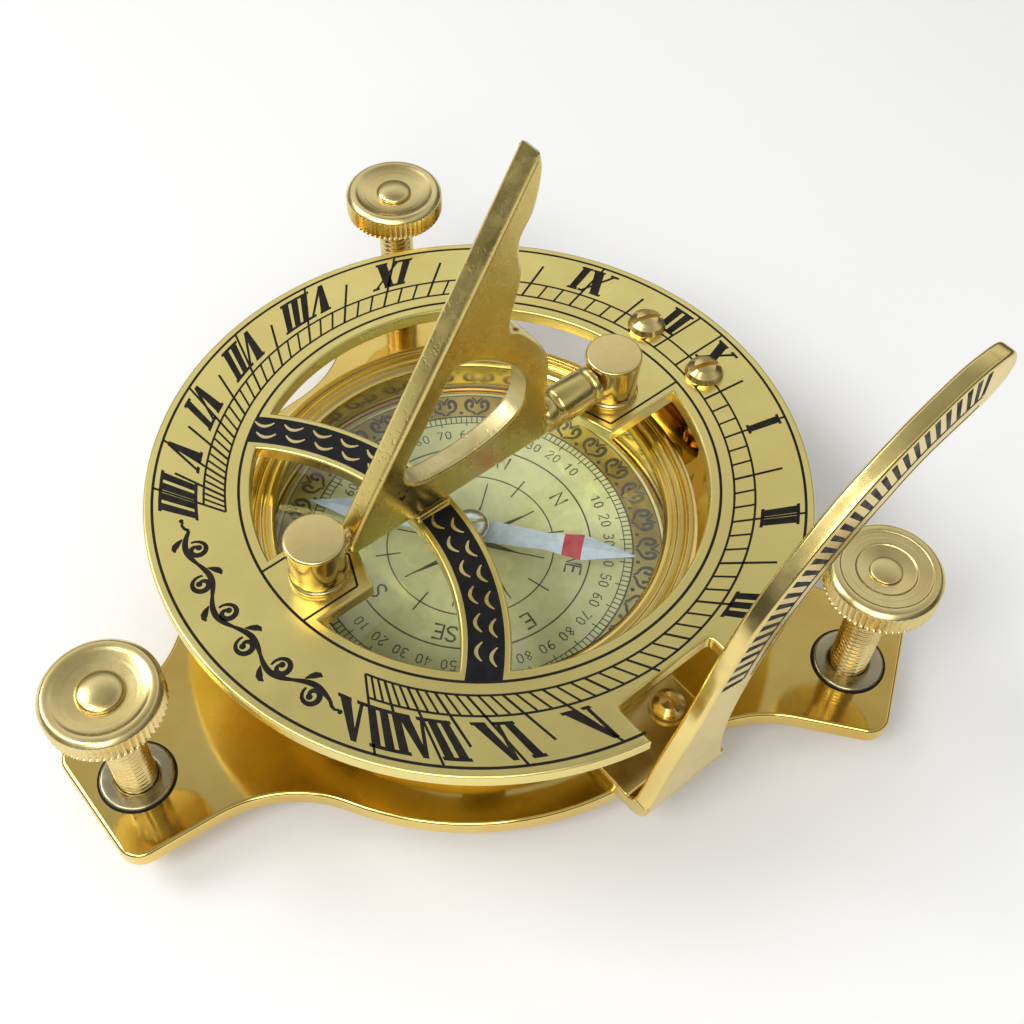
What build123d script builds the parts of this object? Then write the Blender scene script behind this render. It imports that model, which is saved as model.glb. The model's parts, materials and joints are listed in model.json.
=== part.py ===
from build123d import *
import os

os.makedirs("parts", exist_ok=True)

# Brass tabletop sundial compass: a three-screw levelling base carries a compass
# under a folding hour ring, a folding gnomon and a fixed curved latitude arm.
# It is drawn about the centre of the base, and saved with its origin on the ground under
# the middle of its bounding box. +Z up, +Y to the hour ring's hinge (north), +X to the
# latitude arm (east). Millimetres.

# Middle of the bounding box, seen from the centre of the base
MIDDLE_X = -1.55
MIDDLE_Y = -8.8

# Base plate
BASE_BOTTOM = 5.0
BASE_TOP = 8.0
DISC_RADIUS = 46.0
LOBE_END = 69.0
LOBE_END_HALF_WIDTH = 11.0
LOBE_ROOT = 34.0
LOBE_ROOT_HALF_WIDTH = 14.3
LOBE_CORNER = 3.5
LOBE_FILLET = 20.0

# Levelling screws
SCREW_CIRCLE = 61.3
SCREWS = {"south": -90.0, "east": 33.0, "west": 154.0}
STUD_RADIUS = 3.0
STUD_CLEARANCE = 0.05
STUD_SHOULDER = 28.7
SPIGOT_RADIUS = 2.0
SPIGOT_CLEARANCE = 0.05
BUSH_RADIUS = 4.6
BUSH_FLANGE_RADIUS = 5.4
BUSH_FLANGE_TOP = 8.6
KNOB_RADIUS = 8.3
KNOB_HEIGHT = 4.8

# Compass
CASE_RADIUS = 33.0
CASE_BORE = 31.0
CASE_FLOOR = 10.0
CASE_TOP = 19.8
DIAL_PLATE_TOP = 11.5
CARD_TOP = 12.0
GLASS_TOP = 21.0
GLASS_RADIUS = 32.5
BEZEL_RADIUS = 35.0
BEZEL_BOTTOM = 17.5
BEZEL_TOP = 22.3
BEZEL_OPENING = 29.7
NEEDLE_BOTTOM = 15.6
NEEDLE_TOP = 16.1
NEEDLE_ANGLE = 39.4

# Hour ring
RING_Y = 2.0
RING_TOP = 29.0
RING_THICKNESS = 2.4
RING_BOTTOM = RING_TOP - RING_THICKNESS
RING_RADIUS = 50.0
RING_OPENING = 34.3
TAB_HALF_WIDTH = 6.5
STRAP_CENTRE_Y = RING_Y - 48.3
STRAP_INNER = 34.9
STRAP_OUTER = 42.0
STRAP_FIELD_INNER = 35.9
STRAP_FIELD_OUTER = 41.0
STRAP_RECESS = 0.3
NOTCH_X = 42.3
NOTCH_HALF_WIDTH = 8.6
RING_SCREW_X = 6.7
RING_SCREW_Y = RING_Y + 40.2

# Ring hinge
HINGE_Y = 49.0
HINGE_Z = 17.5
KNUCKLE_RADIUS = 2.2
PIN_RADIUS = 1.0
PIN_CLEARANCE = 0.05
HINGE_HALF_WIDTH = 9.0
TONGUE_HALF_WIDTH = 3.9
FORK_INSIDE = 4.1
LEAF_BOTTOM = 24.9

# Gnomon and its posts
POST_NORTH_Y = RING_Y + 26.1
POST_SOUTH_Y = RING_Y - 29.3
POST_HEIGHT = 8.5
POST_TOP_RADIUS = 4.4
POST_WAIST_RADIUS = 4.0
GNOMON_AXIS_Z = RING_TOP + 4.6
GNOMON_THICKNESS = 3.6
PIVOT_RADIUS = 1.2
PIVOT_CLEARANCE = 0.05

# Latitude arm
ARM_EAST = 51.3
ARM_WEST = 48.6
ARM_SCREW_X = 40.7
ARM_SCREW_Y = 5.0
ARM_LEAF_TOP = 10.8


def yz_plane(x):
    """Sketch plane whose first axis is +Y and second axis is +Z, at this x."""
    return Plane(origin=(x, 0, 0), x_dir=(0, 1, 0), z_dir=(1, 0, 0))


def prism(face, x_low, x_high):
    """Extrude a face drawn in (y, z) between two x positions."""
    return extrude(yz_plane(x_low) * face, x_high - x_low, dir=(1, 0, 0))


def cylinder(radius, x, y, z_low, z_high):
    """Upright cylinder from z_low to z_high."""
    return Pos(x, y, (z_low + z_high) / 2) * Cylinder(radius, z_high - z_low)


def cylinder_y(radius, x, z, y_low, y_high):
    """Cylinder lying along Y."""
    return Pos(x, (y_low + y_high) / 2, z) * Rot(90, 0, 0) * Cylinder(radius, y_high - y_low)


def cylinder_x(radius, y, z, x_low, x_high):
    """Cylinder lying along X."""
    return Pos((x_low + x_high) / 2, y, z) * Rot(0, 90, 0) * Cylinder(radius, x_high - x_low)


def block(x_low, x_high, y_low, y_high, z_low, z_high):
    """Box between two opposite corners."""
    centre = Pos((x_low + x_high) / 2, (y_low + y_high) / 2, (z_low + z_high) / 2)
    return centre * Box(x_high - x_low, y_high - y_low, z_high - z_low)


def turned(points):
    """Solid of revolution about Z of an outline given as (radius, z)."""
    outline = make_face(Polyline(*[(r, 0, z) for r, z in points], close=True))
    return revolve(outline, Axis.Z)


def save(shape, name):
    """Write one sub-part to its STEP file, moved to the saved origin."""
    export_step(Pos(-MIDDLE_X, -MIDDLE_Y, 0) * shape, "parts/" + name + ".step")


def screw_place(name):
    """Centre of a levelling screw on the base."""
    return Rot(0, 0, SCREWS[name]) * Pos(SCREW_CIRCLE, 0, 0)


def base_plate():
    """Polished plate: a disc with three lobes, holed for bushes and screws."""
    outline = Circle(DISC_RADIUS)
    for angle in SCREWS.values():
        lobe = Polygon(
            (LOBE_ROOT, -LOBE_ROOT_HALF_WIDTH),
            (LOBE_END, -LOBE_END_HALF_WIDTH),
            (LOBE_END, LOBE_END_HALF_WIDTH),
            (LOBE_ROOT, LOBE_ROOT_HALF_WIDTH),
            align=None,
        )
        outline = outline + Rot(0, 0, angle) * lobe
    ends = [v for v in outline.vertices() if Vector(*v).length > LOBE_END]
    outline = fillet(ends, LOBE_CORNER)
    roots = [v for v in outline.vertices() if Vector(*v).length < DISC_RADIUS + 0.1]
    outline = fillet(roots, LOBE_FILLET)
    plate = Pos(0, 0, BASE_BOTTOM) * extrude(outline, BASE_TOP - BASE_BOTTOM)
    plate = chamfer(plate.faces().sort_by(Axis.Z)[-1].edges(), 0.3)
    for name in SCREWS:
        place = screw_place(name)
        plate = plate - place * cylinder(BUSH_RADIUS, 0, 0, 0, 20)
    plate = plate - cylinder(1.5, ARM_SCREW_X, ARM_SCREW_Y, 0, 20)
    for x in (-5.5, 5.5):
        plate = plate - cylinder(1.2, x, 38.7, 0, 20)
    return plate


def levelling_bush():
    """Flanged steel bush that guides one levelling screw."""
    body = cylinder(BUSH_RADIUS, 0, 0, BASE_BOTTOM - 1.0, BASE_TOP)
    flange = cylinder(BUSH_FLANGE_RADIUS, 0, 0, BASE_TOP, BUSH_FLANGE_TOP)
    bore = cylinder(STUD_RADIUS + STUD_CLEARANCE, 0, 0, 0, 20)
    return body + flange - bore


def levelling_stud():
    """Screw standing on its flat tip, with a spigot and riveted head for the knob."""
    return turned([
        (0, 0),
        (STUD_RADIUS - 0.3, 0),
        (STUD_RADIUS, 0.3),
        (STUD_RADIUS, STUD_SHOULDER),
        (SPIGOT_RADIUS, STUD_SHOULDER),
        (SPIGOT_RADIUS, STUD_SHOULDER + 4.1),
        (2.9, STUD_SHOULDER + 4.1),
        (2.6, STUD_SHOULDER + 4.7),
        (1.7, STUD_SHOULDER + 5.2),
        (0, STUD_SHOULDER + 5.4),
    ])


def levelling_knob():
    """Round finger knob with a bevelled rim and a shallow dish."""
    low = STUD_SHOULDER + 0.05
    bore = SPIGOT_RADIUS + SPIGOT_CLEARANCE
    return turned([
        (bore, low),
        (KNOB_RADIUS - 0.9, low),
        (KNOB_RADIUS, low + 0.8),
        (KNOB_RADIUS, low + 3.7),
        (KNOB_RADIUS - 0.9, low + KNOB_HEIGHT - 0.1),
        (KNOB_RADIUS - 1.9, low + KNOB_HEIGHT - 0.1),
        (KNOB_RADIUS - 2.9, low + 4.3),
        (3.6, low + 4.0),
        (bore, low + 4.0),
    ])


def compass_case():
    """Open brass cup of the compass, bored for the needle's pivot."""
    cup = cylinder(CASE_RADIUS, 0, 0, BASE_TOP, CASE_TOP)
    hollow = cylinder(CASE_BORE, 0, 0, CASE_FLOOR, CASE_TOP + 1)
    return cup - hollow - cylinder(1.0, 0, 0, 0, 20)


def dial_plate():
    """Brass disc under the compass card."""
    disc = cylinder(CASE_BORE - 0.1, 0, 0, CASE_FLOOR, DIAL_PLATE_TOP)
    return disc - cylinder(1.0, 0, 0, 0, 20)


def compass_card():
    """Printed card that carries the compass scale."""
    return cylinder(30.0, 0, 0, DIAL_PLATE_TOP, CARD_TOP) - cylinder(1.0, 0, 0, 0, 20)


def compass_glass():
    """Flat glass clamped between the case wall and the bezel."""
    return cylinder(GLASS_RADIUS, 0, 0, CASE_TOP, GLASS_TOP)


def compass_bezel():
    """Stepped ring that slips over the case and holds the glass."""
    return turned([
        (CASE_RADIUS, BEZEL_BOTTOM),
        (BEZEL_RADIUS, BEZEL_BOTTOM),
        (BEZEL_RADIUS, BEZEL_TOP - 0.4),
        (BEZEL_RADIUS - 0.4, BEZEL_TOP),
        (33.3, BEZEL_TOP),
        (33.1, BEZEL_TOP - 0.4),
        (32.9, BEZEL_TOP),
        (31.0, BEZEL_TOP),
        (BEZEL_OPENING, GLASS_TOP + 0.5),
        (BEZEL_OPENING, GLASS_TOP),
        (GLASS_RADIUS, GLASS_TOP),
        (GLASS_RADIUS, CASE_TOP),
        (CASE_RADIUS, CASE_TOP),
    ])


def needle_pivot():
    """Steel point on which the needle turns, with a flange on the card."""
    return turned([
        (0, BASE_TOP),
        (1.0, BASE_TOP),
        (1.0, CARD_TOP),
        (2.2, CARD_TOP),
        (2.2, CARD_TOP + 0.8),
        (0.6, CARD_TOP + 1.2),
        (0.6, 16.3),
        (0, 16.9),
    ])


def compass_needle():
    """Flat lozenge needle with broad arrowheads, holed for its cap."""
    outline = Polygon(
        (25.7, 0),
        (17.5, 2.4),
        (12.0, 1.6),
        (0, 2.2),
        (-12.0, 1.6),
        (-17.5, 2.4),
        (-25.7, 0),
        (-17.5, -2.4),
        (-12.0, -1.6),
        (0, -2.2),
        (12.0, -1.6),
        (17.5, -2.4),
        align=None,
    )
    blade = Pos(0, 0, NEEDLE_BOTTOM) * extrude(outline, NEEDLE_TOP - NEEDLE_BOTTOM)
    blade = blade - cylinder(1.5, 0, 0, 10, 20)
    return Rot(0, 0, NEEDLE_ANGLE) * blade


def needle_cap():
    """Domed cap whose cupped underside rides on the pivot."""
    return turned([
        (0.65, NEEDLE_BOTTOM - 0.3),
        (1.5, NEEDLE_BOTTOM - 0.3),
        (1.5, NEEDLE_TOP),
        (3.0, NEEDLE_TOP),
        (2.8, NEEDLE_TOP + 0.9),
        (2.1, NEEDLE_TOP + 1.7),
        (1.1, NEEDLE_TOP + 2.15),
        (0, NEEDLE_TOP + 2.3),
        (0, 17.0),
        (0.65, 16.35),
    ])


def ring_screw():
    """Slotted round-head screw that holds the ring to its hinge leaf."""
    shank = cylinder(1.4, RING_SCREW_X, RING_SCREW_Y, LEAF_BOTTOM, RING_TOP)
    head = Pos(RING_SCREW_X, RING_SCREW_Y, 0) * turned([
        (0, RING_TOP),
        (3.1, RING_TOP),
        (3.1, RING_TOP + 0.5),
        (2.7, RING_TOP + 1.3),
        (1.7, RING_TOP + 2.0),
        (0, RING_TOP + 2.3),
    ])
    slot = block(-4, 4, -0.4, 0.4, RING_TOP + 1.3, RING_TOP + 4)
    slot = Pos(RING_SCREW_X, RING_SCREW_Y, 0) * Rot(0, 0, 70) * slot
    return shank + head - slot


def bracket_screw():
    """Pan-head screw that fixes the hinge bracket to the base."""
    shank = cylinder(1.2, 0, 0, BASE_BOTTOM, 10.2)
    head = turned([(0, 10.2), (2.2, 10.2), (2.2, 10.9), (1.7, 11.5), (0, 11.7)])
    slot = block(-3, 3, -0.3, 0.3, 11.1, 12.5)
    return shank + head - slot


def hinge_bracket():
    """Angle bracket on the base with the two outer knuckles of the ring hinge."""
    foot = block(-HINGE_HALF_WIDTH, HINGE_HALF_WIDTH, 35.8, 45.0, BASE_TOP, 10.2)
    wall = block(-HINGE_HALF_WIDTH, HINGE_HALF_WIDTH, 42.0, 45.0, BASE_TOP, LEAF_BOTTOM - 0.05)
    bracket = foot + wall
    for x_low in (FORK_INSIDE, -HINGE_HALF_WIDTH):
        x_high = x_low + HINGE_HALF_WIDTH - FORK_INSIDE
        low = HINGE_Z - KNUCKLE_RADIUS
        arm = block(x_low, x_high, 44.0, HINGE_Y, low, HINGE_Z + KNUCKLE_RADIUS)
        knuckle = cylinder_x(KNUCKLE_RADIUS, HINGE_Y, HINGE_Z, x_low, x_high)
        bracket = bracket + arm + knuckle
    bracket = bracket - cylinder_x(PIN_RADIUS, HINGE_Y, HINGE_Z, -20, 20)
    for x in (-5.5, 5.5):
        bracket = bracket - cylinder(1.2, x, 38.7, 0, 20)
    return bracket


def hinge_pin():
    """Steel pin of the ring hinge, held by the bracket's knuckles."""
    end = HINGE_HALF_WIDTH + 0.3
    return cylinder_x(PIN_RADIUS, HINGE_Y, HINGE_Z, -end, end)


def ring_leaf():
    """Hinge leaf under the hour ring with the middle knuckle."""
    plate = block(-HINGE_HALF_WIDTH, HINGE_HALF_WIDTH, 38.5, 46.3, LEAF_BOTTOM, RING_BOTTOM)
    tongue = block(-TONGUE_HALF_WIDTH, TONGUE_HALF_WIDTH, 46.3, 51.2, LEAF_BOTTOM, RING_BOTTOM)
    web = block(-TONGUE_HALF_WIDTH, TONGUE_HALF_WIDTH, 47.6, 50.4, HINGE_Z, RING_BOTTOM)
    knuckle = cylinder_x(KNUCKLE_RADIUS, HINGE_Y, HINGE_Z, -TONGUE_HALF_WIDTH, TONGUE_HALF_WIDTH)
    leaf = plate + tongue + web + knuckle
    leaf = leaf - cylinder_x(PIN_RADIUS + PIN_CLEARANCE, HINGE_Y, HINGE_Z, -20, 20)
    for x in (-RING_SCREW_X, RING_SCREW_X):
        leaf = leaf - cylinder(1.4, x, RING_SCREW_Y, 20, 35)
    return leaf


def hour_ring():
    """Hour ring in one casting with two tabs, the curved strap and the arm's notch."""
    ring = Circle(RING_RADIUS) - Circle(RING_OPENING)
    north = Polygon(
        (-TAB_HALF_WIDTH, 40.0),
        (-TAB_HALF_WIDTH, 20.6),
        (0, 18.7),
        (TAB_HALF_WIDTH, 20.6),
        (TAB_HALF_WIDTH, 40.0),
        align=None,
    )
    south = Polygon(
        (-TAB_HALF_WIDTH, -40.0),
        (TAB_HALF_WIDTH, -40.0),
        (TAB_HALF_WIDTH, -24.6),
        (0, -22.6),
        (-TAB_HALF_WIDTH, -24.6),
        align=None,
    )
    arch = Pos(0, STRAP_CENTRE_Y - RING_Y) * (Circle(STRAP_OUTER) - Circle(STRAP_INNER))
    strap = arch & Circle(RING_OPENING + 1.0)
    outline = ring + north + south + strap
    plate = Pos(0, RING_Y, RING_BOTTOM) * extrude(outline, RING_THICKNESS)
    rim = [
        e for e in plate.edges().filter_by(GeomType.CIRCLE)
        if abs(e.radius - RING_RADIUS) < 0.01
    ]
    plate = fillet(rim, 0.7)
    field = Pos(0, STRAP_CENTRE_Y - RING_Y) * (
        Circle(STRAP_FIELD_OUTER) - Circle(STRAP_FIELD_INNER)
    )
    field = field & Circle(RING_OPENING + 1.4)
    field = field - Pos(0, -10.0) * Rectangle(4.4, 9.0)
    recess = Pos(0, RING_Y, RING_TOP - STRAP_RECESS) * extrude(field, 2)
    plate = plate - recess
    plate = plate + block(-1.7, 1.7, RING_Y - 13.0, RING_Y - 7.0, RING_BOTTOM, RING_TOP + 0.8)
    plate = plate - block(NOTCH_X, 60, -NOTCH_HALF_WIDTH, NOTCH_HALF_WIDTH, 20, 40)
    for x in (-RING_SCREW_X, RING_SCREW_X):
        plate = plate - cylinder(1.4, x, RING_SCREW_Y, 20, 35)
    for y in (POST_NORTH_Y, POST_SOUTH_Y):
        plate = plate - cylinder(2.0, 0, y, 20, 35)
    return plate


def gnomon_post(y, inward):
    """Tapered post riveted to the ring, drilled on its inward side for the pivot."""
    top = RING_TOP + POST_HEIGHT
    post = Pos(0, y, 0) * turned([
        (0, RING_BOTTOM),
        (2.0, RING_BOTTOM),
        (2.0, RING_TOP),
        (4.4, RING_TOP),
        (4.4, RING_TOP + 0.6),
        (POST_WAIST_RADIUS, RING_TOP + 0.9),
        (POST_TOP_RADIUS, top - 0.4),
        (POST_TOP_RADIUS - 0.4, top),
        (0, top),
    ])
    far = y + inward * 6.0
    hole = cylinder_y(PIVOT_RADIUS + PIVOT_CLEARANCE, 0, GNOMON_AXIS_Z, min(y, far), max(y, far))
    return post - hole


def gnomon():
    """Folding gnomon: inclined style, looped web, base bar, barrel and pivot pins."""
    style = Polyline(
        (9.1, 86.1),
        (-22.9, 32.8),
        (-22.9, 31.2),
        (-21.9, 30.5),
        (14.0, 30.5),
        (14.0, 36.7),
        (13.1, 38.0),
        (13.1, 42.1),
    )
    back = Spline(
        (13.1, 42.1),
        (13.1, 47.6),
        (11.0, 52.3),
        (7.9, 56.7),
        (5.9, 58.4),
        (6.0, 61.0),
        (6.9, 64.5),
        (7.4, 68.1),
        (6.9, 73.2),
        (9.1, 77.3),
        (10.1, 82.6),
        (9.7, 85.8),
    )
    outline = make_face([style, back, Line((9.7, 85.8), (9.1, 86.1))])
    loop = make_face(Spline(
        (-12.4, 42.4),
        (-8.2, 49.3),
        (-4.2, 56.1),
        (-2.4, 56.6),
        (1.6, 54.6),
        (6.6, 50.0),
        (8.7, 44.9),
        (6.8, 40.0),
        (-1.0, 37.5),
        (-10.5, 38.2),
        periodic=True,
    ))
    half = GNOMON_THICKNESS / 2
    body = prism(outline - loop, -half, half)
    body = body + cylinder_y(3.1, 0, GNOMON_AXIS_Z, 13.0, 23.7)
    body = body + cylinder_y(PIVOT_RADIUS, 0, GNOMON_AXIS_Z, 23.0, POST_NORTH_Y - 0.4)
    body = body + cylinder_y(PIVOT_RADIUS, 0, GNOMON_AXIS_Z, POST_SOUTH_Y + 0.4, -22.0)
    return body


def latitude_arm():
    """One-piece bent bar: a leaf screwed to the base and a curved graduated blade."""
    west_foot = 36.5
    convex = Spline(
        (-9.5, BASE_TOP),
        (-8.8, 13.0),
        (-6.2, 20.0),
        (-2.2, 28.0),
        (0.7, 37.0),
        (5.2, 46.6),
        (11.5, 54.0),
        (18.8, 61.0),
        (27.5, 66.2),
        (36.2, 69.8),
        (41.2, 70.6),
    )
    tip = ThreePointArc((41.2, 70.6), (44.6, 69.6), (45.0, 66.0))
    concave = Spline(
        (45.0, 66.0),
        (41.8, 62.6),
        (38.0, 61.4),
        (29.0, 57.6),
        (20.7, 52.0),
        (13.6, 44.2),
        (8.2, 34.4),
        (5.0, 24.0),
        (4.6, 17.0),
        (6.0, 12.0),
        (9.5, BASE_TOP),
    )
    heel = Line((9.5, BASE_TOP), (-9.5, BASE_TOP))
    blade = prism(make_face([convex, tip, concave, heel]), ARM_WEST, ARM_EAST)
    leaf = block(west_foot, ARM_EAST, -9.5, 9.5, BASE_TOP, ARM_LEAF_TOP)
    arm = blade + leaf
    return arm - cylinder(1.5, ARM_SCREW_X, ARM_SCREW_Y, 0, 20)


def arm_screw():
    """Round-head screw of the latitude arm."""
    shank = cylinder(1.5, 0, 0, BASE_BOTTOM, ARM_LEAF_TOP + 0.5)
    low = ARM_LEAF_TOP + 0.5
    head = turned([(0, low), (2.5, low), (2.4, low + 0.7), (1.5, low + 1.4), (0, low + 1.7)])
    slot = block(-3, 3, -0.3, 0.3, low + 1.0, low + 3)
    return Pos(ARM_SCREW_X, ARM_SCREW_Y, 0) * (shank + head - slot)


def arm_washer():
    """Washer under the arm's screw."""
    ring = cylinder(3.0, 0, 0, ARM_LEAF_TOP, ARM_LEAF_TOP + 0.5) - cylinder(1.5, 0, 0, 0, 20)
    return Pos(ARM_SCREW_X, ARM_SCREW_Y, 0) * ring


save(base_plate(), "base_plate")
for side in SCREWS:
    save(screw_place(side) * levelling_bush(), "levelling_bush_" + side)
    save(screw_place(side) * levelling_stud(), "levelling_stud_" + side)
    save(screw_place(side) * levelling_knob(), "levelling_knob_" + side)
save(compass_case(), "compass_case")
save(dial_plate(), "dial_plate")
save(compass_card(), "compass_card")
save(compass_glass(), "compass_glass")
save(compass_bezel(), "compass_bezel")
save(needle_pivot(), "needle_pivot")
save(compass_needle(), "compass_needle")
save(needle_cap(), "needle_cap")
save(hinge_bracket(), "hinge_bracket")
save(Pos(5.5, 38.7, 0) * bracket_screw(), "bracket_screw_east")
save(Pos(-5.5, 38.7, 0) * bracket_screw(), "bracket_screw_west")
save(hinge_pin(), "hinge_pin")
save(ring_leaf(), "ring_leaf")
save(hour_ring(), "hour_ring")
save(ring_screw(), "ring_screw_east")
save(Pos(-2 * RING_SCREW_X, 0, 0) * ring_screw(), "ring_screw_west")
save(gnomon_post(POST_NORTH_Y, -1), "gnomon_post_north")
save(gnomon_post(POST_SOUTH_Y, 1), "gnomon_post_south")
save(gnomon(), "gnomon")
save(latitude_arm(), "latitude_arm")
save(arm_screw(), "arm_screw")
save(arm_washer(), "arm_washer")
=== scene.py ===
import json
import math
import random

import bpy
from mathutils import Matrix, Vector
from mathutils.geometry import tessellate_polygon


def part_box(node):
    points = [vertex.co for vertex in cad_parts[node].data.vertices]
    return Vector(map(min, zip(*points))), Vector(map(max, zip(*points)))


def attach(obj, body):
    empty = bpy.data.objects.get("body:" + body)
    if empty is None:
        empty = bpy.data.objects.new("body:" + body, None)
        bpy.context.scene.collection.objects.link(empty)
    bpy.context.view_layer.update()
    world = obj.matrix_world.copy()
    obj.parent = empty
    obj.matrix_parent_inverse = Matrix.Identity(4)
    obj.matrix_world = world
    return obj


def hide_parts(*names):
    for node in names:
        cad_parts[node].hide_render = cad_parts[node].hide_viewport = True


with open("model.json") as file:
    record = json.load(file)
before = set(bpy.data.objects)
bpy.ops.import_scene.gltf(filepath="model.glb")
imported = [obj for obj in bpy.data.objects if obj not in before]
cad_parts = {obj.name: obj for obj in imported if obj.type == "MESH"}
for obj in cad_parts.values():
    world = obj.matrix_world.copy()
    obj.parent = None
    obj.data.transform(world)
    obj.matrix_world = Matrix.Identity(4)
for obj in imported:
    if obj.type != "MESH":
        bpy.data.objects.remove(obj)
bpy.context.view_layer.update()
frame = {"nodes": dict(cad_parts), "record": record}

MM = 0.001
TAU = 2 * math.pi


def centre_of(node):
    """Middle of a CAD node in plan, in millimetres."""
    low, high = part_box(node)
    return (low.x + high.x) / 2 / MM, (low.y + high.y) / 2 / MM


def heights_of(node):
    """Lowest and highest point of a CAD node, in millimetres."""
    low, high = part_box(node)
    return low.z / MM, high.z / MM


# Lengths are in millimetres about the compass's centre, which MIDDLE gives in the frame.
MIDDLE = centre_of("compass_card")
RING_Y = 2.0
RING_BOTTOM, RING_TOP = 26.6, 29.0
RING_RADIUS = 50.0
OPENING = 34.3
TAB = 6.5
STRAP_Y = -48.3
STRAP_INNER, STRAP_OUTER = 34.9, 42.0
BASE_BOTTOM, BASE_TOP = heights_of("base_plate")
SCREWS = {"south": -90.0, "east": 33.0, "west": 154.0}
SCREW_CIRCLE = 61.3
DISC_RADIUS = 46.0
LOBE_HALF_ANGLE = 29.15
HOUR_ROOT = (2.5, -25.25)
LADDER_INNER, LADDER_OUTER = 38.0, 41.1
RIM_LINE = 48.6
GNOMON_AXIS = 33.6
NEEDLE_ANGLE = 39.4
CARD_TURN = -7.0
ARM_WEST, ARM_EAST = 48.6, 51.3
LEAF_TOP = 10.8


def rotated(u, v, degrees):
    """A plan point turned about the origin."""
    turn = math.radians(degrees)
    return u * math.cos(turn) - v * math.sin(turn), u * math.sin(turn) + v * math.cos(turn)


def polar(radius, degrees, centre=(0, 0)):
    """The plan point at a radius and an angle from east."""
    turn = math.radians(degrees)
    return centre[0] + radius * math.cos(turn), centre[1] + radius * math.sin(turn)


def place_m(x, y):
    """A point about the compass's centre, in the frame, in metres."""
    return (x + MIDDLE[0]) * MM, (y + MIDDLE[1]) * MM


def screw_spot(name):
    """Centre of a levelling screw in plan."""
    return polar(SCREW_CIRCLE, SCREWS[name])


# ---------------------------------------------------------------- camera

def make_camera():
    """Camera south-east of the object, looking down on it."""
    azimuth, elevation, roll = math.radians(49.26), math.radians(53.03), math.radians(1.725)
    back = Vector((
        math.sin(azimuth) * math.cos(elevation),
        -math.cos(azimuth) * math.cos(elevation),
        math.sin(elevation),
    ))
    side = Vector((math.cos(azimuth), math.sin(azimuth), 0))
    up = back.cross(side)
    right = side * math.cos(roll) + up * math.sin(roll)
    up = up * math.cos(roll) - side * math.sin(roll)
    data = bpy.data.cameras.new("camera")
    data.lens = 47.97
    data.sensor_width = 36.0
    data.shift_x = 0.00668
    data.shift_y = -0.01019
    data.clip_start = 0.01
    camera = bpy.data.objects.new("camera", data)
    matrix = Matrix((right, up, back)).transposed().to_4x4()
    matrix.translation = Vector((0.100007, -0.068977, 0.189949))
    camera.matrix_world = matrix
    bpy.context.scene.collection.objects.link(camera)
    bpy.context.scene.camera = camera


# ---------------------------------------------------------------- materials

class Nodes:
    """Small helper that adds and joins shader nodes."""

    def __init__(self, name):
        self.material = bpy.data.materials.new(name)
        self.material.use_nodes = True
        self.tree = self.material.node_tree
        self.shader = self.tree.nodes["Principled BSDF"]
        self.coords = self.add("ShaderNodeTexCoord").outputs["Object"]

    def add(self, kind, **values):
        node = self.tree.nodes.new(kind)
        for key, value in values.items():
            setattr(node, key, value)
        return node

    def link(self, source, target):
        self.tree.links.new(source, target)

    def noise(self, scale, detail=3.0, rough=0.5, stretch=None):
        """Noise with features of about 1/scale metres."""
        node = self.add("ShaderNodeTexNoise")
        node.inputs["Scale"].default_value = scale
        node.inputs["Detail"].default_value = detail
        node.inputs["Roughness"].default_value = rough
        source = self.coords
        if stretch:
            mapping = self.add("ShaderNodeMapping")
            mapping.inputs["Scale"].default_value = stretch
            self.link(self.coords, mapping.inputs["Vector"])
            source = mapping.outputs["Vector"]
        self.link(source, node.inputs["Vector"])
        return node.outputs["Fac"]

    def ramp(self, source, stops):
        node = self.add("ShaderNodeValToRGB")
        while len(node.color_ramp.elements) < len(stops):
            node.color_ramp.elements.new(0.5)
        for element, (place, colour) in zip(node.color_ramp.elements, stops):
            element.position = place
            if isinstance(colour, (int, float)):
                colour = (colour, colour, colour)
            element.color = (*colour, 1)
        self.link(source, node.inputs["Fac"])
        return node.outputs["Color"]

    def bump(self, source, distance, strength=1.0, normal=None):
        node = self.add("ShaderNodeBump")
        node.inputs["Distance"].default_value = distance
        node.inputs["Strength"].default_value = strength
        self.link(source, node.inputs["Height"])
        if normal:
            self.link(normal, node.inputs["Normal"])
        return node.outputs["Normal"]

    def rings(self, centre, scale):
        """Fine concentric turning marks about a vertical axis, as a height from 0 to 1."""
        mapping = self.add("ShaderNodeMapping")
        mapping.inputs["Location"].default_value = (-centre[0], -centre[1], 0)
        flat = self.add("ShaderNodeVectorMath", operation="MULTIPLY")
        flat.inputs[1].default_value = (1, 1, 0)
        size = self.add("ShaderNodeVectorMath", operation="LENGTH")
        self.link(self.coords, mapping.inputs["Vector"])
        self.link(mapping.outputs["Vector"], flat.inputs[0])
        self.link(flat.outputs["Vector"], size.inputs[0])
        line = self.add("ShaderNodeTexNoise", noise_dimensions="1D")
        line.inputs["Scale"].default_value = scale
        line.inputs["Detail"].default_value = 2.0
        self.link(size.outputs["Value"], line.inputs["W"])
        return line.outputs["Fac"]

    def set(self, **values):
        for key, value in values.items():
            self.shader.inputs[key.replace("_", " ")].default_value = value


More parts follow.
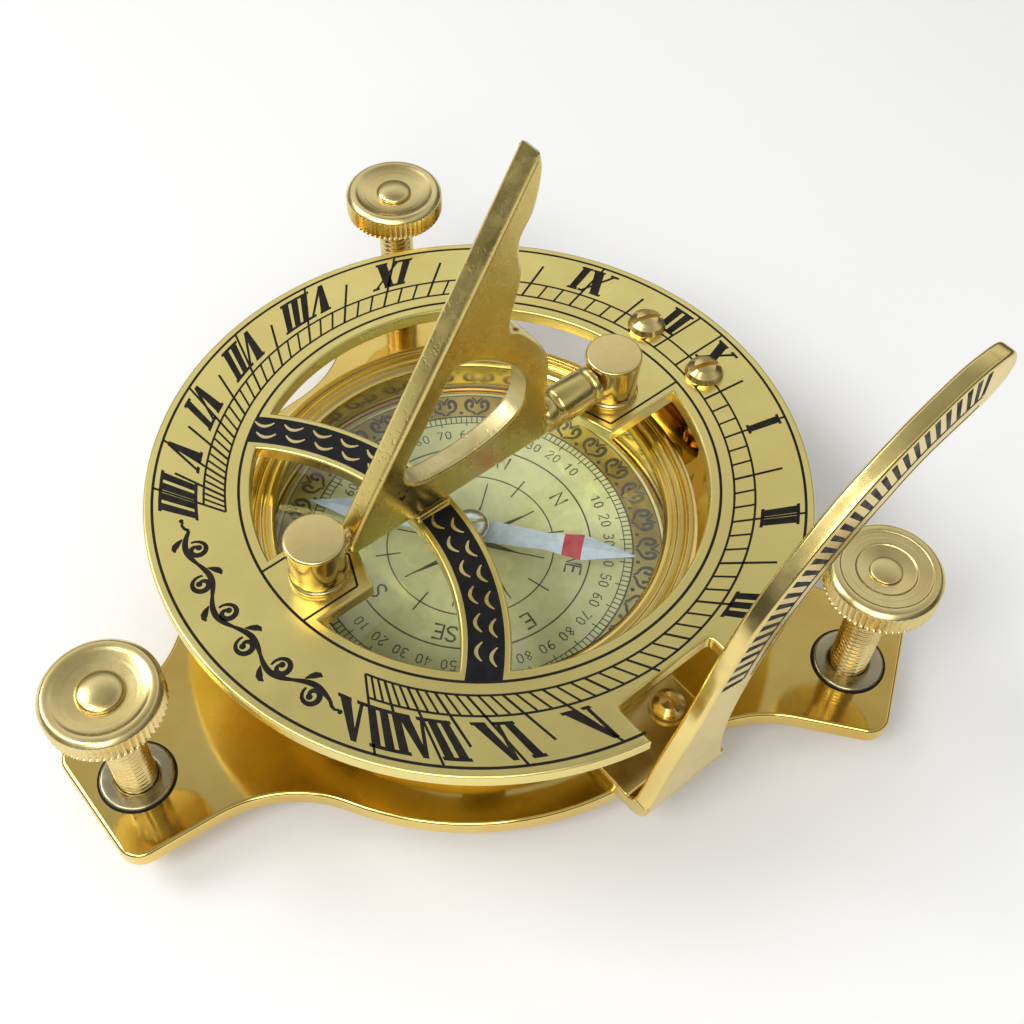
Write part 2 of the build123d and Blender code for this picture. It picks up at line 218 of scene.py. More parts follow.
def brass(name, light, dark, smooth, dull, scratch=0.0, wave=0.0, scale=60.0, pits=0.0, turned=None):
    """Brass with slow tarnish, uneven gloss, polishing marks, and waves or pits from casting."""
    n = Nodes(name)
    tarnish = n.noise(scale, 5.0, 0.6)
    n.link(n.ramp(tarnish, [(0.32, dark), (0.62, light)]), n.shader.inputs["Base Color"])
    gloss = n.noise(scale * 3.1, 4.0, 0.65)
    n.link(n.ramp(gloss, [(0.3, smooth), (0.7, dull)]), n.shader.inputs["Roughness"])
    n.set(Metallic=1.0)
    normal = None
    if wave:
        normal = n.bump(n.noise(38.0, 1.0, 0.4), wave, 1.0, normal)
    if pits:
        specks = n.ramp(n.noise(1400.0, 2.0, 0.5), [(0.30, 0.0), (0.42, 1.0)])
        normal = n.bump(specks, 0.00006, pits, normal)
    if scratch:
        normal = n.bump(n.noise(900.0, 2.0, 0.5, (1.0, 0.12, 1.0)), 0.00002, scratch, normal)
        normal = n.bump(n.noise(1300.0, 2.0, 0.5, (0.15, 1.0, 0.6)), 0.00002, scratch, normal)
    if turned:
        normal = n.bump(n.rings(turned, 2600.0), 0.00003, 0.5, normal)
    if normal:
        n.link(normal, n.shader.inputs["Normal"])
    return n.material


def plain_metal(name, colour, rough):
    """Steel or chrome with faint stains and uneven gloss."""
    n = Nodes(name)
    dark = tuple(0.75 * c for c in colour)
    n.link(n.ramp(n.noise(220.0, 4.0), [(0.3, dark), (0.7, colour)]), n.shader.inputs["Base Color"])
    n.link(n.ramp(n.noise(500.0, 3.0), [(0.3, rough * 0.7), (0.7, rough * 1.4)]),
           n.shader.inputs["Roughness"])
    n.link(n.bump(n.noise(1500.0, 2.0), 0.00001, 0.3), n.shader.inputs["Normal"])
    n.set(Metallic=1.0)
    return n.material


def enamel(name, colour, rough, lift=2.2, grain=0.4, shine=0.5):
    """Paint, enamel or print with specks of a lighter tone."""
    n = Nodes(name)
    light = tuple(min(1.0, lift * c + 0.004) for c in colour)
    n.link(n.ramp(n.noise(700.0, 4.0), [(0.4, colour), (0.8, light)]), n.shader.inputs["Base Color"])
    n.link(n.ramp(n.noise(400.0, 3.0), [(0.3, rough * 0.6), (0.7, rough * 1.5)]),
           n.shader.inputs["Roughness"])
    n.link(n.bump(n.noise(1500.0, 2.0), 0.00002, grain), n.shader.inputs["Normal"])
    n.set(Specular_IOR_Level=shine)
    return n.material


def glass_material(name):
    """Clear glass that lets lamp light through to the card."""
    n = Nodes(name)
    n.set(Transmission_Weight=1.0, IOR=1.5)
    n.shader.inputs["Base Color"].default_value = (0.93, 0.97, 0.92, 1)
    n.link(n.ramp(n.noise(90.0, 4.0), [(0.4, 0.0), (0.8, 0.02)]), n.shader.inputs["Roughness"])
    path = n.add("ShaderNodeLightPath")
    clear = n.add("ShaderNodeBsdfTransparent")
    mix = n.add("ShaderNodeMixShader")
    n.link(path.outputs["Is Shadow Ray"], mix.inputs[0])
    n.link(n.shader.outputs["BSDF"], mix.inputs[1])
    n.link(clear.outputs["BSDF"], mix.inputs[2])
    n.link(mix.outputs["Shader"], n.tree.nodes["Material Output"].inputs["Surface"])
    return n.material


GOLD = (0.84, 0.64, 0.20)
DEEP_GOLD = (0.74, 0.50, 0.12)
PALE_GOLD = (0.86, 0.74, 0.27)
M = {
    "mirror": brass("mirror_brass", GOLD, DEEP_GOLD, 0.05, 0.13, 0.10, 0.00022, 45.0),
    "case": brass("case_brass", (0.82, 0.64, 0.22), (0.66, 0.48, 0.14), 0.10, 0.22, 0.10, 0.0, 60.0,
                  turned=place_m(0, 0)),
    "ring": brass("ring_brass", PALE_GOLD, (0.82, 0.68, 0.24), 0.25, 0.36, 0.06, 0.00006, 50.0),
    "satin": brass("satin_brass", (0.86, 0.72, 0.34), (0.78, 0.62, 0.26), 0.22, 0.34, 0.2, 0.0, 70.0),
    "gnomon": brass("gnomon_brass", (0.74, 0.60, 0.22), (0.62, 0.49, 0.16), 0.18, 0.32, 0.06, 0.00010,
                    70.0, 0.2),
    # Darker copy of the gnomon brass for the style's sloped south face: painted shade, standing in for a dark
    # reflection.
    "shaded_style": brass("shaded_style_brass", (0.40, 0.33, 0.13), (0.30, 0.24, 0.08), 0.24, 0.36, 0.05, 0.0, 40.0, 0.15),
    "loop": brass("loop_brass", (0.84, 0.74, 0.40), (0.70, 0.58, 0.26), 0.34, 0.5, 0.3, 0.0002, 160.0, 0.6),
    # Darker copy of brass for the posts' turned sides, beside their lighter satin tops: painted shade.
    "turned": brass("turned_brass_painted_shade", (0.60, 0.45, 0.16), (0.48, 0.34, 0.11), 0.10, 0.18, 0.05, 0.0, 60.0),
    "screw": brass("screw_brass", (0.80, 0.64, 0.28), (0.60, 0.42, 0.16), 0.16, 0.30, 0.2, 0.0, 90.0),
    "arm": brass("arm_brass", (0.82, 0.66, 0.26), (0.68, 0.52, 0.18), 0.14, 0.26, 0.12, 0.00014, 80.0),
    "steel": plain_metal("bush_steel", (0.50, 0.44, 0.28), 0.25),
    "chrome": plain_metal("cap_chrome", (0.80, 0.80, 0.78), 0.07),
    "ink": enamel("black_fill", (0.010, 0.008, 0.006), 0.5, 2.0, 0.3, 0.2),
    "field": enamel("black_enamel", (0.006, 0.006, 0.008), 0.30, 1.3, 0.1, 0.25),
    "card": enamel("card_cream", (0.50, 0.50, 0.25), 0.5, 1.15),
    "card_gold": brass("card_gold", (0.62, 0.55, 0.20), (0.40, 0.30, 0.10), 0.30, 0.5, 0.0, 0.0, 150.0),
    "card_ink": enamel("card_ink", (0.03, 0.028, 0.02), 0.7),
    "needle": enamel("needle_blue_grey", (0.42, 0.48, 0.58), 0.3, 1.25),
    "needle_red": enamel("needle_red", (0.35, 0.02, 0.03), 0.35, 1.5),
    "glass": glass_material("clear_glass"),
}
for screw in SCREWS:
    M["knob_" + screw] = brass("knob_brass_" + screw, (0.84, 0.70, 0.34), (0.74, 0.58, 0.24), 0.20, 0.34,
                               0.1, 0.0, 80.0, turned=place_m(*screw_spot(screw)))


# ---------------------------------------------------------------- mesh tools

def upright(u, v, w):
    """Plan: u east, v north, w up."""
    return u, v, w


def on_ring(u, v, w):
    """Plan about the ring's own centre."""
    return u, v + RING_Y, w


def on_card(u, v, w):
    """Plan turned with the compass card."""
    return (*rotated(u, v, CARD_TURN), w)


def on_needle(u, v, w):
    """Plan turned with the needle, whose point lies along u."""
    return (*rotated(u, v, NEEDLE_ANGLE), w)


def side_view(u, v, w):
    """Side view from the east: u north, v up, w east."""
    return w, u, v


def along_y(u, v, w):
    """A turned part lying north to south on the gnomon's axis."""
    return v, w, u + GNOMON_AXIS


def along_bend(u, v, w):
    """A section in u east and v up, drawn out towards the south."""
    return u, -w, v


def piece(name, verts, faces, material, body, smooth=None, replaces=(), place=upright):
    """Mesh object from millimetre points about the compass's centre, riding on a body."""
    mesh = bpy.data.meshes.new(name)
    points = []
    for vert in verts:
        x, y, z = place(*vert)
        points.append(((x + MIDDLE[0]) * MM, (y + MIDDLE[1]) * MM, z * MM))
    mesh.from_pydata(points, [], faces)
    mesh.update()
    materials = material if isinstance(material, (list, tuple)) else [material]
    for m in materials:
        mesh.materials.append(M[m])
    obj = bpy.data.objects.new(name, mesh)
    bpy.context.scene.collection.objects.link(obj)
    if smooth is not None:
        mesh.shade_smooth()
        mesh.set_sharp_from_angle(angle=math.radians(smooth))
    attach(obj, body)
    if replaces:
        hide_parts(*replaces)
    return obj


def flat_caps(obj):
    """Lets large flat faces set the shading where they meet a rounded edge."""
    modifier = obj.modifiers.new("weights", "WEIGHTED_NORMAL")
    modifier.keep_sharp = True
    modifier.weight = 90


def area(points):
    """Signed area of a closed outline."""
    total = 0.0
    for (ax, ay), (bx, by) in zip(points, points[1:] + points[:1]):
        total += ax * by - bx * ay
    return total / 2


def soften(points, radius, steps=3, closed=True):
    """Rounds the corners of an outline."""
    result = []
    count = len(points)
    for k, here in enumerate(points):
        if not closed and k in (0, count - 1):
            result.append(here)
            continue
        here = Vector(here)
        before = Vector(points[k - 1]) - here
        after = Vector(points[(k + 1) % count]) - here
        start = here + before.normalized() * min(radius, 0.45 * before.length)
        end = here + after.normalized() * min(radius, 0.45 * after.length)
        for step in range(steps + 1):
            t = step / steps
            point = start * (1 - t) ** 2 + here * (2 * t * (1 - t)) + end * t ** 2
            result.append((point.x, point.y))
    return result


def curve(points, closed=False, steps=8):
    """Smooth curve through points."""
    count = len(points)
    result = []
    for k in range(count if closed else count - 1):
        p = [Vector(points[(k + shift) % count if closed else min(max(k + shift, 0), count - 1)])
             for shift in (-1, 0, 1, 2)]
        for step in range(steps):
            t = step / steps
            point = 0.5 * (2 * p[1] + (p[2] - p[0]) * t
                           + (2 * p[0] - 5 * p[1] + 4 * p[2] - p[3]) * t ** 2
                           + (3 * p[1] - 3 * p[2] + p[3] - p[0]) * t ** 3)
            result.append((point.x, point.y))
    if not closed:
        result.append(tuple(points[-1]))
    return result


def arc(cx, cy, r, start, end, count):
    """Points of a circular arc, angles in degrees."""
    return [polar(r, start + (end - start) * k / count, (cx, cy)) for k in range(count + 1)]


def circle(cx, cy, r, count=48):
    return arc(cx, cy, r, 0, 360, count)[:-1]


def inset(points, distance):
    """Moves a closed outline towards its left side."""
    moved = []
    count = len(points)
    for k, here in enumerate(points):
        here = Vector(here)
        before = (here - Vector(points[k - 1])).normalized()
        after = (Vector(points[(k + 1) % count]) - here).normalized()
        left = Vector((-before.y - after.y, before.x + after.x)).normalized()
        spread = max(0.45, left.dot(Vector((-after.y, after.x))))
        moved.append(here + left * (distance / spread))
    return moved


def slab(loops, low, high, round_low, round_high, steps=4):
    """Plate with rounded edges: the first loop is its outline, the others its holes."""
    wound = []
    for index, loop in enumerate(loops):
        wants_positive = index == 0
        wound.append(list(loop) if (area(loop) > 0) == wants_positive else list(reversed(loop)))
    profile = []
    for k in range(steps + 1):
        angle = math.pi / 2 * k / steps
        profile.append((round_low * (1 - math.sin(angle)), low + round_low * (1 - math.cos(angle))))
    for k in range(steps + 1):
        angle = math.pi / 2 * k / steps
        profile.append((round_high * (1 - math.cos(angle)), high - round_high * (1 - math.sin(angle))))
    verts, faces = [], []
    levels = []
    for distance, height in profile:
        level = []
        for loop in wound:
            moved = inset(loop, distance)
            level.append(list(range(len(verts), len(verts) + len(moved))))
            verts += [(p.x, p.y, height) for p in moved]
        levels.append(level)
    for under, over in zip(levels, levels[1:]):
        for a, b in zip(under, over):
            for k in range(len(a)):
                n = (k + 1) % len(a)
                faces.append((a[k], a[n], b[n], b[k]))
    for level, upward in ((levels[-1], True), (levels[0], False)):
        index = [i for loop in level for i in loop]
        outlines = [[Vector((verts[i][0], verts[i][1], 0)) for i in loop] for loop in level]
        for triangle in tessellate_polygon(outlines):
            corners = [index[i] for i in triangle]
            if (area([verts[i][:2] for i in corners]) > 0) != upward:
                corners.reverse()
            faces.append(tuple(corners))
    return verts, faces


def lathe(profile, count=96, centre=(0, 0), ripple=None, closed=False):
    """A profile [(r, z)] turned about a vertical axis; closed for a ring-shaped section."""
    if area(profile) > 0:
        profile = list(reversed(profile))
    verts, faces, rows = [], [], []
    for r, z in profile:
        if r < 1e-6:
            rows.append([len(verts)])
            verts.append((centre[0], centre[1], z))
            continue
        rows.append(list(range(len(verts), len(verts) + count)))
        for k in range(count):
            angle = TAU * k / count
            radius = r + (ripple(r, z, k) if ripple else 0)
            verts.append((centre[0] + radius * math.cos(angle), centre[1] + radius * math.sin(angle), z))
    pairs = list(zip(rows, rows[1:]))
    if closed:
        pairs.append((rows[-1], rows[0]))
    for a, b in pairs:
        for k in range(count):
            n = (k + 1) % count
            if len(a) == 1 and len(b) == 1:
                break
            if len(a) == 1:
                faces.append((a[0], b[k], b[n]))
            elif len(b) == 1:
                faces.append((a[k], b[0], a[n]))
            else:
                faces.append((a[k], b[k], b[n], a[n]))
    return verts, faces


def turned_piece(name, profile, material, body, smooth, replaces=(), count=96, centre=(0, 0),
                 ripple=None, closed=False, place=upright):
    """Piece turned from a profile."""
    verts, faces = lathe(profile, count, centre, ripple, closed)
    return piece(name, verts, faces, material, body, smooth, replaces, place)


def plate_piece(name, loops, heights, edges, material, body, smooth, replaces=(), place=upright,
                steps=4):
    """Piece cut from plate, with rounded edges and flat faces."""
    verts, faces = slab(loops, *heights, *edges, steps)
    obj = piece(name, verts, faces, material, body, smooth, replaces, place)
    flat_caps(obj)
    return obj


class Marks:
    """Collects thin closed inlays, such as filled engraving, into one mesh."""

    def __init__(self, low, high, place=upright):
        self.low, self.high, self.place = low, high, place
        self.verts, self.faces = [], []
        self.strokes = 0

    def top_of_next(self):
        """Height of the next stroke: a hair apart from its neighbours, so that crossings stay clean."""
        self.strokes += 1
        return self.high + 0.002 * (self.strokes % 7)

    def poly(self, points):
        if area(points) < 0:
            points = list(reversed(points))
        start, count, high = len(self.verts), len(points), self.top_of_next()
        self.verts += [(x, y, high) for x, y in points]
        self.verts += [(x, y, self.low) for x, y in points]
        top = list(range(start, start + count))
        bottom = [i + count for i in top]
        self.faces.append(tuple(top))
        self.faces.append(tuple(reversed(bottom)))
        for k in range(count):
            n = (k + 1) % count
            self.faces.append((bottom[k], bottom[n], top[n], top[k]))

    def line(self, points, width, closed=False):
        """A strip along a line; width is a number or a function of 0 to 1 along it."""
        start, count, high = len(self.verts), len(points), self.top_of_next()
        for k, (x, y) in enumerate(points):
            if closed:
                a, b = points[k - 1], points[(k + 1) % count]
            else:
                a, b = points[max(k - 1, 0)], points[min(k + 1, count - 1)]
            length = math.hypot(b[0] - a[0], b[1] - a[1]) or 1.0
            half = (width(k / (count - 1)) if callable(width) else width) / 2
            nx, ny = -(b[1] - a[1]) / length * half, (b[0] - a[0]) / length * half
            for z in (high, self.low):
                self.verts.append((x + nx, y + ny, z))
                self.verts.append((x - nx, y - ny, z))
        for k in range(count if closed else count - 1):
            a, b = start + 4 * k, start + 4 * ((k + 1) % count)
            self.faces.append((a + 1, b + 1, b, a))
            self.faces.append((a + 2, b + 2, b + 3, a + 3))
            self.faces.append((a, b, b + 2, a + 2))
            self.faces.append((a + 3, b + 3, b + 1, a + 1))
        if not closed:
            a, b = start, start + 4 * (count - 1)
            self.faces.append((a, a + 2, a + 3, a + 1))
            self.faces.append((b, b + 1, b + 3, b + 2))

    def circle(self, cx, cy, r, width, count=240):
        self.line(circle(cx, cy, r, count), width, closed=True)

    def dot(self, x, y, r, count=12):
        self.poly(circle(x, y, r, count))

    def build(self, name, material, body, replaces=()):
        return piece(name, self.verts, self.faces, material, body, None, replaces, self.place)


# ---------------------------------------------------------------- base and levelling screws

def base_outline():
    """A disc with three lobes that widen from the screw ends into long fillets."""
    corner = arc(65.5, 7.815, 3.5, 0, 84.6, 8)
    fillet = arc(57.64, 32.16, 20.0, 264.6, 209.2, 20)
    half = corner + fillet
    lobe = [(u, -v) for u, v in reversed(half)] + half
    west, south, east = SCREWS["west"], SCREWS["south"] + 360, SCREWS["east"] + 360
    points = []
    for start, following in ((west, south), (south, east), (east, west + 360)):
        points += [rotated(u, v, start) for u, v in lobe]
        points += arc(0, 0, DISC_RADIUS, start + LOBE_HALF_ANGLE, following - LOBE_HALF_ANGLE, 20)[1:-1]
    return points


def make_base():
    holes = [circle(*screw_spot(name), 4.62, 40) for name in SCREWS]
    plate_piece("polished_base", [base_outline()] + holes, (BASE_BOTTOM, BASE_TOP), (0.5, 0.65),
                "mirror", "base", 40, ("base_plate",))


def thread_profile(low, high, radius, count):
    """Profile rows of a stud, eight to a turn, and the ripple that cuts its 1 mm thread."""
    rows = [(0, low), (radius - 0.5, low), (radius - 0.3, low + 0.2)]
    steps = int((high - low - 0.6) * 8)
    rows += [(radius - 0.3, low + 0.3 + k / 8) for k in range(steps)]
    rows += [(radius - 0.3, high - 0.2), (radius - 0.5, high), (0, high)]

    def ripple(r, z, k):
        if r < radius - 0.31 or z < low + 0.25 or z > high - 0.25:
            return 0
        phase = (z - k / count) % 1.0
        return 0.28 * (1 - abs(2 * phase - 1)) if 1.0 < z - low < high - low - 1.0 else 0.0

    return rows, ripple


def make_bush(name, spot):
    """Flanged bush, with the dark seam round its flange."""
    profile = soften([(3.06, 4.0), (4.55, 4.0), (4.55, 8.0), (5.4, 8.0), (5.4, 8.35), (5.1, 8.6),
                      (3.5, 8.6), (3.06, 8.45)], 0.15, 2)
    turned_piece("bush_" + name, profile, "steel", "base", 35, ("levelling_bush_" + name,),
                 96, spot, closed=True)
    seam = Marks(8.0, 8.03)
    seam.circle(*spot, 5.55, 0.4, 96)
    seam.build("bush_seam_" + name, "ink", "base")


def make_stud(name, spot):
    """Threaded stud, and its riveted end standing in the knob's dish."""
    count = 72
    rows, ripple = thread_profile(0.0, 28.7, 3.0, count)
    turned_piece("threaded_stud_" + name, rows, "screw", "stud_" + name, 50,
                 ("levelling_stud_" + name,), count, spot, ripple)
    top, radius = {"south": (34.1, 3.3), "east": (33.3, 2.3), "west": (33.9, 3.0)}[name]
    low, steps = 32.78, 12
    profile = [(0, 28.72), (1.95, 28.72), (1.95, low), (radius - 0.05, low), (radius, low + 0.15)]
    rise = top - low - 0.15
    for step in range(1, steps + 1):
        angle = math.pi / 2 * step / steps
        profile.append((radius * math.cos(angle) if step < steps else 0,
                        low + 0.15 + rise * math.sin(angle)))
    turned_piece("riveted_end_" + name, profile, "knob_" + name, "stud_" + name, 50, (),
                 72, spot)


def make_knob(name, spot):
    """Knurled knob with a dished top; the east one is flat with a stepped middle."""
    teeth, columns = 58, 8
    bottom, top, r = 28.76, 33.43, 8.28
    dish = [(6.7, top), (6.1, top - 0.3), (4.8, top - 0.56), (3.5, top - 0.7), (2.08, top - 0.72)]
    if name == "east":
        dish = [(6.6, top), (6.4, top - 0.18), (4.4, top - 0.22), (4.2, top - 0.45), (2.08, top - 0.72)]
    profile = soften([(2.08, bottom), (r - 0.7, bottom), (r, bottom + 0.6), (r, bottom + 1.2),
                      (r, top - 1.3), (r, top - 0.75), (r - 0.75, top)] + dish, 0.3, 3)

    def knurl(radius, z, k):
        if radius < r - 0.15 or not bottom + 0.5 < z < top - 0.85:
            return 0
        return -0.42 * abs(((k % columns) / columns) * 2 - 1)

    turned_piece("knurled_knob_" + name, profile, "knob_" + name, "knob_" + name, 45,
                 ("levelling_knob_" + name,), teeth * columns, spot, knurl, closed=True)


def make_screw(name):
    """One levelling screw: bush, threaded stud and knurled knob."""
    spot = screw_spot(name)
    make_bush(name, spot)
    make_stud(name, spot)
    make_knob(name, spot)


# ---------------------------------------------------------------- compass

def make_case():
    """Case, its stepped bezel and the flat glass held between them."""
    wall = soften([(0.95, 8.02), (32.6, 8.02), (33.0, 8.4), (33.0, 17.5), (33.0, 19.8), (31.0, 19.8),
                   (31.0, 10.0), (0.95, 10.0)], 0.25, 3)
    turned_piece("compass_cup", wall, "case", "base", 35, ("compass_case",), 192,
                 closed=True)
    bezel = soften([(33.02, 17.52), (34.6, 17.52), (34.98, 17.9), (34.98, 21.4), (34.3, 22.28),
                    (33.5, 22.28), (33.3, 21.75), (33.0, 21.75), (32.8, 22.1), (31.9, 22.1),
                    (31.7, 21.8), (31.2, 21.8), (30.9, 21.95), (30.3, 21.8), (29.72, 21.35),
                    (29.72, 21.02), (32.5, 21.02), (32.5, 19.85), (33.02, 19.85)], 0.16, 3)
    turned_piece("stepped_bezel", bezel, "case", "base", 35, ("compass_bezel",), 192,
                 closed=True)
    glass = soften([(0, 19.82), (32.4, 19.82), (32.4, 21.0), (0, 21.0)], 0.2, 3)[4:-4]
    turned_piece("flat_glass", [(0, 19.82)] + glass + [(0, 21.0)], "glass", "base", 35,
                 ("compass_glass",), 128)


GLYPHS = {
    "N": [[(0, 0), (0, 1), (0.7, 0), (0.7, 1)]],
    "E": [[(0.6, 0), (0, 0), (0, 1), (0.6, 1)], [(0, 0.52), (0.5, 0.52)]],
    "S": [[(0.6, 0.85), (0.45, 1), (0.15, 1), (0, 0.8), (0.1, 0.6), (0.5, 0.42), (0.62, 0.2), (0.45, 0),
           (0.12, 0), (0, 0.16)]],
    "W": [[(0, 1), (0.22, 0), (0.45, 0.85), (0.68, 0), (0.9, 1)]],
    "0": [[(0.3, 0), (0.06, 0.2), (0.06, 0.8), (0.3, 1), (0.54, 0.8), (0.54, 0.2), (0.3, 0)]],
    "1": [[(0.12, 0.78), (0.36, 1), (0.36, 0)]],
    "2": [[(0.05, 0.8), (0.2, 1), (0.45, 1), (0.58, 0.76), (0.02, 0), (0.6, 0)]],
    "3": [[(0.05, 0.88), (0.25, 1), (0.52, 0.88), (0.5, 0.62), (0.25, 0.53), (0.56, 0.4), (0.56, 0.12),
           (0.28, 0), (0.03, 0.14)]],
    "4": [[(0.45, 0), (0.45, 1), (0, 0.3), (0.62, 0.3)]],
    "5": [[(0.55, 1), (0.1, 1), (0.06, 0.56), (0.4, 0.6), (0.58, 0.36), (0.5, 0.06), (0.25, 0), (0.04, 0.1)]],
    "6": [[(0.5, 0.95), (0.2, 0.82), (0.05, 0.4), (0.12, 0.06), (0.34, 0), (0.56, 0.16), (0.54, 0.42),
           (0.32, 0.54), (0.08, 0.36)]],
    "7": [[(0.02, 1), (0.6, 1), (0.2, 0)]],
    "8": [[(0.3, 0.54), (0.1, 0.76), (0.3, 1), (0.5, 0.76), (0.3, 0.54), (0.04, 0.26), (0.3, 0),
           (0.56, 0.26), (0.3, 0.54)]],
    "9": [[(0.1, 0.05), (0.4, 0.18), (0.55, 0.6), (0.48, 0.94), (0.26, 1), (0.04, 0.84), (0.06, 0.58),
           (0.28, 0.46), (0.52, 0.64)]],
}


def write(marks, text, radius, angle, height, stroke):
    """Letters whose tops point away from the centre, at an angle from east in degrees."""
    advance = 0.86 * height
    start = -advance * len(text) / 2 + 0.13 * height
    up = Vector((math.cos(math.radians(angle)), math.sin(math.radians(angle))))
    right = Vector((up.y, -up.x))
    for index, letter in enumerate(text):
        for stroke_points in GLYPHS[letter]:
            line = []
            for s, t in stroke_points:
                point = right * (start + index * advance + s * height) + up * (radius + t * height)
                line.append((point.x, point.y))
            marks.line(line, stroke)


def curl(marks, angle, side):
    """Half of one curled leaf of the card's border, with a ball at the end of its scroll."""
    up = Vector((math.cos(math.radians(angle)), math.sin(math.radians(angle))))
    right = Vector((up.y, -up.x)) * side

    def spot(s, t):
        point = right * s + up * (25.3 + t)
        return point.x, point.y

    line = []
    for step in range(13):
        turn = math.radians(-80 + 300 * step / 12)
        size = 0.95 - 0.5 * step / 12
        line.append(spot(1.15 + 0.85 * size * math.cos(turn), 2.2 + 1.35 * size * math.sin(turn)))
    marks.line([spot(0.12, 0.1), spot(0.5, 0.55)] + line, lambda t: 0.34 + 0.3 * math.sin(math.pi * t))
    marks.dot(*line[-1], 0.36, 8)
    marks.line([spot(0.0, 2.4), spot(0.3, 3.1), spot(0.9, 3.75)], lambda t: 0.5 - 0.25 * t)


def make_card():
    """Backing plate, printed card, gilt border and print."""
    backing = [(0.95, 10.02), (30.85, 10.02), (30.85, 11.3), (30.7, 11.48), (0.95, 11.48)]
    turned_piece("card_backing", backing, "case", "base", 35, ("dial_plate",), 144,
                 closed=True)
    card = [(0.95, 11.5), (29.9, 11.5), (30.0, 11.6), (30.0, 11.9), (29.9, 11.99), (0.95, 11.99)]
    turned_piece("printed_card", card, "card", "base", 35, ("compass_card",), 144, closed=True)
    border = Marks(11.95, 12.0)
    border.line(circle(0, 0, 27.15, 144), 4.3, closed=True)
    border.build("card_border", "card_gold", "base")
    marks = Marks(11.98, 12.02, on_card)
    card_border_print(marks)
    card_scale(marks)
    card_rose(marks)
    marks.build("card_print", "card_ink", "base")


def card_border_print(marks):
    """Curled leaves round the card's edge, and the circles between its bands."""
    count = 32
    for k in range(count):
        for side in (-1, 1):
            curl(marks, 360 / count * k, side)
        marks.dot(*polar(25.8, 360 / count * (k + 0.5)), 0.34, 8)
    for radius, width in ((29.4, 0.18), (25.0, 0.26), (23.7, 0.16), (18.5, 0.24), (12.8, 0.2)):
        marks.circle(0, 0, radius, width)


def card_scale(marks):
    """Ticks every two degrees, and tens counted both ways from north and from south."""
    for degree in range(0, 360, 2):
        inner = 23.0 if degree % 10 == 0 else 23.7
        marks.line([polar(inner, degree), polar(25.0, degree)], 0.17)
    for tens in range(1, 10):
        for north in (90, -90):
            for side in (-1, 1):
                if tens < 9 or side > 0:
                    write(marks, str(10 * tens), 20.6, north + side * 10 * tens, 1.55, 0.2)


def card_rose(marks):
    """Compass letters, spokes and the eight-pointed rose."""
    for k, letters in enumerate(("E", "NE", "N", "NW", "W", "SW", "S", "SE")):
        write(marks, letters, 15.0, 45 * k, 2.4, 0.34)
        between = 45 * k + 22.5
        marks.line([polar(10.8, between), polar(14.6, between)], 0.22)
        marks.line([polar(3.0, 45 * k), polar(11.6, 45 * k)], 0.2)
    for k in range(8):
        reach = 10.8 if k % 2 == 0 else 8.0
        root = (0.2, 0.2) if k == 0 else polar(0.15, 45 * k)
        shoulder = polar(2.4, 45 * k + math.degrees(0.5))
        marks.poly([root, polar(reach, 45 * k), shoulder])


def make_needle():
    """Ridged needle with a red band near its point, and its domed cap."""
    low, high = heights_of("compass_needle")
    middle = (low + high) / 2
    stations = [(-25.7, 0.02), (-17.5, 2.4), (-12.0, 1.6), (0, 2.2), (12.0, 1.6), (14.5, 1.95),
                (17.5, 2.4), (25.7, 0.02)]
    verts, faces = [], []
    for s, half in stations:
        verts += [(s, half, middle), (s, 0, high), (s, -half, middle), (s, 0, low)]
    red = []
    for k in range(len(stations) - 1):
        a, b = 4 * k, 4 * k + 4
        for m in range(4):
            n = (m + 1) % 4
            faces.append((a + m, a + n, b + n, b + m))
            red.append(1 if stations[k][0] == 14.5 else 0)
    last = 4 * (len(stations) - 1)
    faces += [(3, 2, 1, 0), (last, last + 1, last + 2, last + 3)]
    needle = piece("ridged_needle", verts, faces, ["needle", "needle_red"], "needle", 5,
                   ("compass_needle",), on_needle)
    for polygon, index in zip(needle.data.polygons, red):
        polygon.material_index = index
    top = heights_of("needle_cap")[1]
    profile = [(0, 15.35), (1.45, 15.35), (1.5, 16.1), (2.95, 16.12), (3.0, 16.4)]
    for step in range(1, 13):
        angle = math.pi / 2 * step / 12
        profile.append((3.0 * math.cos(angle) if step < 12 else 0, 16.4 + (top - 16.4) * math.sin(angle)))
    turned_piece("chrome_cap", profile, "chrome", "needle", 40, ("needle_cap",), 72)


# ---------------------------------------------------------------- hour ring

